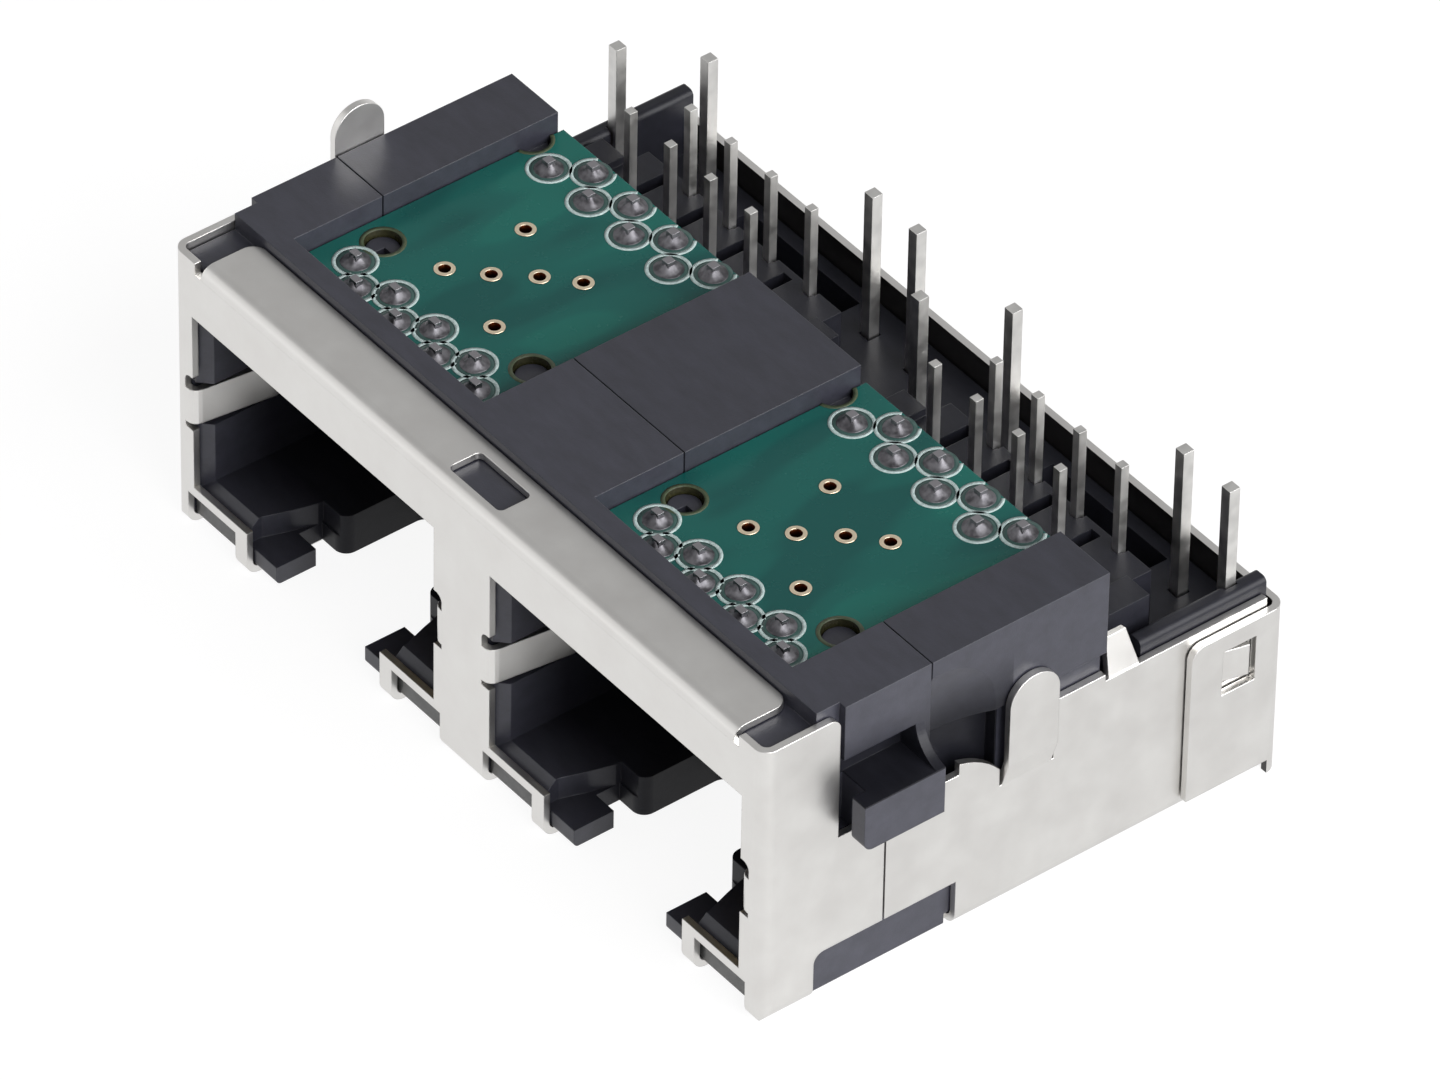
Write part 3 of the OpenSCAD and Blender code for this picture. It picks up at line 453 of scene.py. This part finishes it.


# %% Painted shade places
GLOSS = 0.38
PORT_REACH = 6.1 * MM
PORT_HEIGHT = ("Z", 4.3 * MM, 4.4 * MM)
MOUTH_START, MOUTH_STOP = 0.4 * MM, 2.6 * MM
LUG_SIDE = ("X", 15 * MM, 1.1 * MM)
NICHE_HEIGHT = ("Z", 9.1 * MM, 1.1 * MM)
NICHE_TOP, NICHE_FLOOR = 10.2 * MM, 8.3 * MM
FRONT_NICHE = ("Y", -5.3 * MM, 1.9 * MM)
REAR_NICHE = ("Y", -2.15 * MM, 1.65 * MM)
POCKET_DEPTH = ("Y", -2.3 * MM, 1.45 * MM)
POCKET_HEIGHT = ("Z", 6.45 * MM, 1.75 * MM)
POCKET_START, POCKET_STOP = 8.5 * MM, 8.2 * MM
BEHIND_BOARD = 0.2 * MM

board_low, board_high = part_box("left_board")
port = ("X", abs(board_low.x + board_high.x) / 2, PORT_REACH)
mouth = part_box("front_housing")[0].y
housing_plastic = moulding("housing_plastic", (0.033, 0.0335, 0.046), GLOSS)
carrier_plastic = moulding("carrier_plastic", (0.029, 0.0295, 0.041), GLOSS)
# Painted shade: darker colour and less sheen deep in the ports, in the niches and the pocket beside the
# lugs, and on the carrier behind the board.
paint_shade(housing_plastic, "Y", mouth + MOUTH_START, mouth + MOUTH_STOP, 0.32, [port, PORT_HEIGHT])
paint_shade(housing_plastic, "Z", NICHE_TOP, NICHE_FLOOR, 0.3, [LUG_SIDE, NICHE_HEIGHT, FRONT_NICHE])
paint_shade(housing_plastic, "Z", POCKET_START, POCKET_STOP, 0.25, [LUG_SIDE, POCKET_DEPTH, POCKET_HEIGHT])
paint_shade(carrier_plastic, "Z", NICHE_TOP, NICHE_FLOOR, 0.3, [LUG_SIDE, NICHE_HEIGHT, REAR_NICHE])
paint_shade(carrier_plastic, "Y", board_high.y - BEHIND_BOARD, board_high.y, 0.5)
dress(housing_plastic, "front_housing")
dress(carrier_plastic, "rear_carrier")
print("ports are dull behind y =", round((mouth + MOUTH_START) / MM, 2), "mm")

# %% [markdown]
# ### Small boards
# Green solder mask is a clear lacquer over laminate and copper. Where copper lies below, it looks lighter
# and stands a little higher. The sawn edges and drilled holes show the bare laminate, so the shader picks
# that colour wherever the surface doesn't look up or down.


# %% Board finish
def solder_mask():
    """Green lacquer over copper areas where the surface looks up or down, and bare laminate elsewhere."""
    material, tree, shader = finish("green_board", (0.003, 0.09, 0.075), 0.24)
    shader.inputs["Specular IOR Level"].default_value = 0.36
    areas = grain(tree, 2.2 * MM, stretch=(1, 3, 1), detail=1.5, rough=0.4)
    copper = ramp(
        tree,
        areas,
        (0.40, (0.001, 0.072, 0.064)),
        (0.46, (0.003, 0.094, 0.080)),
        (0.56, (0.003, 0.101, 0.085)),
        (0.62, (0.005, 0.122, 0.098)),
    )
    laminate = ramp(tree, grain(tree, 0.12 * MM), (0.3, (0.020, 0.020, 0.009)), (0.7, (0.042, 0.040, 0.018)))
    flat = compute(tree, "ABSOLUTE", axes(tree, "NewGeometry", "True Normal")["Z"])
    tree.links.new(laminate, shader.inputs["Base Color"])
    recolor(material, flat, copper)
    cloud = grain(tree, 0.8 * MM, detail=4.0)
    tree.links.new(spread(tree, cloud, 0.20, 0.30), shader.inputs["Roughness"])
    normal = relief(tree, areas, 0.03 * MM, rounded_edge(tree, 0.04 * MM))
    normal = relief(tree, grain(tree, 0.35 * MM, detail=1.0), 0.003 * MM, normal)
    tree.links.new(normal, shader.inputs["Normal"])
    return material


dress(solder_mask(), "left_board", "right_board")
print("green:", named("_board"))

# %% [markdown]
# ### Tinned, gold-plated and clear parts
# Pins and leads are cut from tinned wire, whose coat is soft and slightly grey. The contact springs are
# gold-plated. Where either is soldered into a small board, its tip is coated with dull solder, so the colour
# changes along one axis: below the board for the springs, and at its rear edge for the pins. The unlit
# status lamps are blocks of clear resin that look grey.


# %% Small metal and lamps
TIN = (0.76, 0.75, 0.73)
GOLD = (0.95, 0.72, 0.36)
SOLDER = (0.34, 0.33, 0.35)


def plated_wire(name, color, gloss):
    """Drawn and plated wire: faint lines along its length and cloudy gloss."""
    material, tree, shader = finish(name, color, gloss, 1.0)
    lines = grain(tree, 0.06 * MM, stretch=(1, 1, 40), detail=1.0)
    cloud = grain(tree, 0.5 * MM, detail=1.0)
    dark = tuple(0.86 * part for part in color)
    tree.links.new(ramp(tree, cloud, (0.3, dark), (0.7, color)), shader.inputs["Base Color"])
    tree.links.new(spread(tree, cloud, gloss - 0.04, gloss + 0.06), shader.inputs["Roughness"])
    normal = relief(tree, lines, 0.0001 * MM, rounded_edge(tree, 0.02 * MM))
    tree.links.new(normal, shader.inputs["Normal"])
    return material


def dip(material, axis, start, stop):
    """Let the finish turn into matt solder between the places start and stop along the axis."""
    tree = material.node_tree
    dipped = carry(tree, axes(tree, "TexCoord", "Object")[axis], start, stop)
    return recolor(material, dipped, (*SOLDER, 1))


def lamp_resin():
    """Clear resin that looks grey, with a faint haze and moulded edges."""
    material, tree, shader = finish("lamp_resin", (0.14, 0.14, 0.14), 0.22)
    shader.inputs["Transmission Weight"].default_value = 0.25
    haze = grain(tree, 0.6 * MM, detail=3.0)
    tree.links.new(
        ramp(tree, haze, (0.3, (0.11, 0.11, 0.11)), (0.7, (0.16, 0.16, 0.157))),
        shader.inputs["Base Color"],
    )
    tree.links.new(relief(tree, haze, 0.01 * MM, rounded_edge(tree, 0.08 * MM)), shader.inputs["Normal"])
    return material


DIP = 0.1 * MM
pin_finish = dip(plated_wire("tinned_pin", TIN, 0.36), "Y", board_high.y, board_high.y - DIP)
contact_finish = dip(plated_wire("gold_contact", GOLD, 0.24), "Z", board_low.z, board_low.z + DIP)
dress(pin_finish, *named("signal_pin"))
dress(contact_finish, *named("contact_"))
dress(plated_wire("tinned_lead", TIN, 0.34), *named("lamp_leads"))
dress(lamp_resin(), *[name for name in named("lamp") if "leads" not in name])
print("pins:", len(named("signal_pin")), "contacts:", len(named("contact_")))

# %% [markdown]
# ## Details on the boards
# Each board carries six plated through holes, sixteen soldered joints inside printed circles, and four
# locating holes with bare rims. They all sit on the board's surface, so their places come from the
# frame: a contact or pin shows where its hole is, and the board's box gives the surface and the edges.

# %% Surfaces on a grid
RIM = 72


def build(name, points, quads, material):
    """Object at the origin from points of shape (n, 3) and quads of shape (m, 4), riding on the jack."""
    mesh = bpy.data.meshes.new(name)
    mesh.from_pydata(points.tolist(), [], quads.tolist())
    mesh.shade_smooth()
    mesh.materials.append(material)
    piece = bpy.data.objects.new(name, mesh)
    scene.collection.objects.link(piece)
    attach(piece, "root")
    return piece


def grid_quads(copies, rows, columns, closed_rows):
    """Quads between neighbouring rows and columns of each copy. The columns always close to a ring, and
    closed_rows also joins the last row to the first."""
    index = np.arange(copies * rows * columns).reshape(copies, rows, columns)
    down = np.roll(index, -1, axis=1)
    if not closed_rows:
        index, down = index[:, :-1], down[:, :-1]
    corners = [index, down, np.roll(down, -1, axis=2), np.roll(index, -1, axis=2)]
    return np.stack(corners, axis=-1).reshape(-1, 4)


def turned(profile, centres, columns=RIM):
    """Surface of revolution about the vertical through each centre: the point of profile (r, z) at the
    angle a lies at centre + (r cos a, r sin a, z)."""
    angle = np.arange(columns) * 2 * np.pi / columns
    around = np.stack([np.cos(angle), np.sin(angle), np.zeros(columns)], axis=-1)
    up = np.array([0.0, 0.0, 1.0])
    shape = profile[:, 0, None, None] * around + profile[:, 1, None, None] * up
    return centres[:, None, None, :] + shape


# %% Places on a board
SIDES = ("left", "right")
WIRES = 8
WIRE_DEPTH = {"contact": 0.25 * MM, "signal_pin": 0.3 * MM}


def hole_places(side):
    """Centres of a board's contact and pin holes, read from the nodes that stand in them. A contact and
    a pin start at their lowest Y, half their thickness before the centre of the hole."""
    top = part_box(f"{side}_board")[1].z
    places = {}
    for kind, depth in WIRE_DEPTH.items():
        boxes = [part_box(f"{side}_{kind}_{k + 1}") for k in range(WIRES)]
        middle = [(low.x + high.x) / 2 for low, high in boxes]
        start = [low.y + depth / 2 for low, high in boxes]
        places[kind] = np.stack([middle, start, np.full(WIRES, top)], axis=-1)
    return places


for side in SIDES:
    print(side, "board: first contact hole at", np.round(hole_places(side)["contact"][0] / MM, 3), "mm")

# %% [markdown]
# ### Printed circles
# White ink circles surround the joints, and inside them a darker green ring lies on the board. Where two
# circles would cross, only those of the inner row are whole, so the outer row shows as arcs, and the
# board's edge cuts them too. The ring is computed whole, and each small quad is kept only if its middle
# lies outside the other circles and on the board.

# %% Ink
INK_OUTER = 0.745 * MM
INK_INNER = 0.62 * MM
INK_HEIGHT = 0.015 * MM
LAND_INNER = 0.38 * MM
LAND_HEIGHT = 0.006 * MM
EDGE_MARGIN = 0.05 * MM


def ink():
    """White print, thin enough in patches for the green to show through."""
    patches = [(0.3, (0.34, 0.44, 0.43)), (0.65, (0.52, 0.62, 0.61))]
    return mottled("board_ink", (0.42, 0.58, 0.54), 0.5, 0.12 * MM, *patches, depth=0.004 * MM)


def darker_green_ring():
    """Darker green ring inside the circles."""
    ring_tones = [(0.3, (0.020, 0.058, 0.052)), (0.7, (0.034, 0.085, 0.075))]
    return mottled("darker_green_ring", (0.02, 0.07, 0.06), 0.3, 0.25 * MM, *ring_tones, depth=0.006 * MM)


def board_rings(side, name, inner, outer, height, material):
    """Flat rings between two radii round every joint, clipped by their neighbours and the board."""
    low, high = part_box(f"{side}_board")
    places = hole_places(side)
    whole = np.concatenate([row[::2] for row in places.values()])
    cut = np.concatenate([row[1::2] for row in places.values()])
    centres = np.concatenate([whole, cut])
    profile = np.array([[inner, height], [outer, height]])
    points = turned(profile, centres).reshape(-1, 3)
    quads = grid_quads(len(centres), 2, RIM, False)
    middle = points[quads].mean(axis=1)
    gap = np.linalg.norm(middle[:, None, :2] - whole[None, :, :2], axis=-1)
    own = np.repeat(np.arange(len(centres)), RIM)
    clear = (gap > INK_INNER).all(axis=1) | (own < len(whole))
    inside = (middle[:, 1] > low.y + EDGE_MARGIN) & (middle[:, 1] < high.y - EDGE_MARGIN)
    piece = build(f"{side}_board_{name}", points, quads[clear & inside], material)
    piece.modifiers.new("thickness", "SOLIDIFY").thickness = height
    print(piece.name, len(piece.data.polygons), "quads")
    return piece


ink_finish = ink()
land_finish = darker_green_ring()
for side in SIDES:
    board_rings(side, "print", INK_INNER, INK_OUTER, INK_HEIGHT, ink_finish)
    board_rings(side, "lands", LAND_INNER, INK_INNER, LAND_HEIGHT, land_finish)

# %% [markdown]
# ### Plated through holes
# A plated hole is a copper tube with a collar on each face, covered with gold. One closed profile, turned
# about the axis of the hole, gives the tube and the collar together. The gold is bright on the flat collar,
# and the wall of the tube, where little light falls, carries painted shade in dark brown.

# %% Through holes
VIAS = np.array([[-1.62, 3.35], [-0.54, 4.34], [0.45, 5.46], [1.49, 6.37], [-1.63, 6.5], [1.52, 2.9]]) * MM
VIA_BORE = 0.202 * MM
VIA_TUBE = 0.213 * MM
VIA_COLLAR = 0.35 * MM
COLLAR_HEIGHT = 0.03 * MM
COLLAR_SOFT = 0.012 * MM
COLLAR_COLUMNS = 48


def collar_profile(thickness):
    """Closed outline (r, z) of tube and collar, clockwise from the bottom of the bore."""
    outline = [
        (VIA_BORE, -thickness),
        (VIA_BORE, COLLAR_HEIGHT - COLLAR_SOFT),
        (VIA_BORE + COLLAR_SOFT, COLLAR_HEIGHT),
        (VIA_COLLAR - 2 * COLLAR_SOFT, COLLAR_HEIGHT),
        (VIA_COLLAR - COLLAR_SOFT / 2, COLLAR_HEIGHT - COLLAR_SOFT),
        (VIA_COLLAR, 0.0),
        (VIA_TUBE, 0.0),
        (VIA_TUBE, -thickness),
    ]
    return np.array(outline)


def through_holes(side, material):
    """Six collars, placed from the middle of the board and its front edge."""
    low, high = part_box(f"{side}_board")
    corner = np.array([(low.x + high.x) / 2, low.y, high.z])
    centres = corner + np.column_stack([VIAS, np.zeros(len(VIAS))])
    profile = collar_profile(high.z - low.z)
    points = turned(profile, centres, COLLAR_COLUMNS).reshape(-1, 3)
    quads = grid_quads(len(VIAS), len(profile), COLLAR_COLUMNS, True)
    piece = build(f"{side}_plated_holes", points, quads, material)
    return piece


def board_gold_painted_shade():
    """Gold on the flat collar, fading to painted shade in dark brown on the upright wall of the tube."""
    material, tree, shader = finish("board_gold_painted_shade", (0.9, 0.75, 0.55), 0.34, 1.0)
    # Painted shade: the colour turns dark brown where the surface stands upright, on the wall of the tube.
    upward = axes(tree, "NewGeometry", "True Normal")["Z"]
    gold_and_painted_shade = ramp(tree, upward, (0.3, (0.10, 0.025, 0.008)), (0.8, (0.92, 0.78, 0.58)))
    tree.links.new(gold_and_painted_shade, shader.inputs["Base Color"])
    uneven = grain(tree, 0.1 * MM, detail=3.0)
    tree.links.new(spread(tree, uneven, 0.28, 0.42), shader.inputs["Roughness"])
    tree.links.new(relief(tree, uneven, 0.006 * MM), shader.inputs["Normal"])
    return material


via_gold = board_gold_painted_shade()
for side in SIDES:
    print(through_holes(side, via_gold).name, "has", len(VIAS), "collars")

# %% [markdown]
# ### Solder joints
# Molten solder climbs the tip of the wire by capillary force and wets the round land, so it freezes as a
# hollow cone with a smooth skin, brighter in some patches than in others. Each joint is such a cone and
# goes down into the hole. Its radius and height are disturbed by a few slow waves round the joint, with
# their own phase for every one.

# %% Joints
JOINT_RADIUS = 0.48 * MM
JOINT_HEIGHT = 0.27 * MM
NECK = 0.12 * MM
BARREL = 0.335 * MM
SOLDER_EDGE = 0.015 * MM
HOLLOW = 1.7
CONE_STEPS = 14
JOINT_COLUMNS = 40
RADIUS_WAVE = 0.03
HEIGHT_WAVE = 0.35


def joint_profile(thickness):
    """Outline (r, z) from the axis over the neck to the land, then down the barrel. Between the neck and
    the land the height above the edge is JOINT_HEIGHT times the way that is left to the power HOLLOW."""
    way = np.linspace(0, 1, CONE_STEPS)
    cone = np.column_stack([NECK + (JOINT_RADIUS - NECK) * way, JOINT_HEIGHT * (1 - way) ** HOLLOW])
    cone[:, 1] += SOLDER_EDGE
    top = np.array([[0.0, cone[0, 1]]])
    foot = np.array([[JOINT_RADIUS, 0.0], [BARREL, 0.0], [BARREL, -thickness], [0.0, -thickness]])
    return np.concatenate([top, cone, foot])


def crumple(points, centres, seed):
    """Disturb each joint above the board. Its radius is multiplied by 1 + RADIUS_WAVE times the sum of
    size * sin(t * angle + phase) over t = 2, 3, 5, and its height by 1 + HEIGHT_WAVE times the share of
    the radius times such a sum over t = 1, 2, 3. Sizes and phases are drawn for each joint."""
    random = np.random.default_rng(seed)
    phase = random.uniform(0, 2 * np.pi, (len(centres), 6, 1, 1))
    size = random.uniform(0.3, 1.0, (len(centres), 6, 1, 1))
    away = points - centres[:, None, None, :]
    angle = np.arctan2(away[..., 1], away[..., 0])

    def waves(first, turns):
        """Sum of three waves that start at the given phase and go round that often."""
        return sum(size[:, first + k] * np.sin(t * angle + phase[:, first + k]) for k, t in enumerate(turns))

    above = away[..., 2] > 0
    away[..., :2] *= np.where(above, 1 + RADIUS_WAVE * waves(0, (2, 3, 5)), 1.0)[..., None]
    reach = np.clip(np.linalg.norm(away[..., :2], axis=-1) / JOINT_RADIUS, 0, 1)
    away[..., 2] *= np.where(above, 1 + HEIGHT_WAVE * reach * waves(3, (1, 2, 3)), 1.0)
    return centres[:, None, None, :] + away


def solder_skin():
    """Frozen solder: bright and matt patches that share their places with its gloss and relief."""
    material, tree, shader = finish("solder", (0.15, 0.145, 0.155), 0.46, 1.0)
    patchy = grain(tree, 0.3 * MM, detail=2.0)
    tree.links.new(
        ramp(tree, patchy, (0.35, (0.085, 0.082, 0.090)), (0.62, (0.20, 0.195, 0.21))),
        shader.inputs["Base Color"],
    )
    tree.links.new(spread(tree, patchy, 0.40, 0.55), shader.inputs["Roughness"])
    tree.links.new(relief(tree, patchy, 0.008 * MM), shader.inputs["Normal"])
    return material


def solder_joints(side, kind, cad_node, seed, material):
    """Eight joints that stand for the CAD node of one row."""
    low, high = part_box(f"{side}_board")
    centres = hole_places(side)[kind]
    profile = joint_profile(high.z - low.z)
    points = crumple(turned(profile, centres, JOINT_COLUMNS), centres, seed)
    quads = grid_quads(len(centres), len(profile), JOINT_COLUMNS, False)
    piece = build(cad_node + "_skin", points.reshape(-1, 3), quads, material)
    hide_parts(cad_node)
    return piece


solder_finish = solder_skin()
rows = [("contact", "front_solder"), ("signal_pin", "rear_solder")]
for seed, (side, (kind, row)) in enumerate([(s, r) for s in SIDES for r in rows]):
    piece = solder_joints(side, kind, f"{side}_{row}", seed, solder_finish)
    print(piece.name, len(piece.data.vertices), "points")

# %% [markdown]
# ### Bare rims of the locating holes
# The mask stops short of the drilled locating holes, so a thin ring of brown laminate shows round each.
# The rear holes lie on the board's side edge, and only the part of their rings on the board is kept.

# %% Rims
RIM_INNER = 0.6 * MM
RIM_OUTER = 0.74 * MM
RIM_HEIGHT = 0.008 * MM
FRONT_PEG = np.array([3.8, 2.61]) * MM
REAR_PEG = np.array([5.0, -1.1]) * MM


def bare_rims(side, material):
    """Flat rings round the four locating holes, clipped by the side edges of the board."""
    low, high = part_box(f"{side}_board")
    middle = (low.x + high.x) / 2
    centres = np.array(
        [
            (middle + s * x, edge + y, high.z)
            for s in (-1, 1)
            for (x, y), edge in ((FRONT_PEG, low.y), (REAR_PEG, high.y))
        ]
    )
    profile = np.array([[RIM_INNER, RIM_HEIGHT], [RIM_OUTER, RIM_HEIGHT]])
    points = turned(profile, centres).reshape(-1, 3)
    quads = grid_quads(len(centres), 2, RIM, False)
    across = points[quads].mean(axis=1)[:, 0]
    piece = build(f"{side}_bare_rims", points, quads[(across > low.x) & (across < high.x)], material)
    piece.modifiers.new("thickness", "SOLIDIFY").thickness = RIM_HEIGHT
    return piece


def bare_laminate():
    """Brown laminate with the weave of its glass cloth as fine mottling."""
    cloth = [(0.3, (0.032, 0.048, 0.024)), (0.7, (0.062, 0.078, 0.036))]
    return mottled("bare_laminate", (0.045, 0.06, 0.03), 0.45, 0.1 * MM, *cloth, depth=0.004 * MM)


rim_finish = bare_laminate()
for side in SIDES:
    print(bare_rims(side, rim_finish).name)
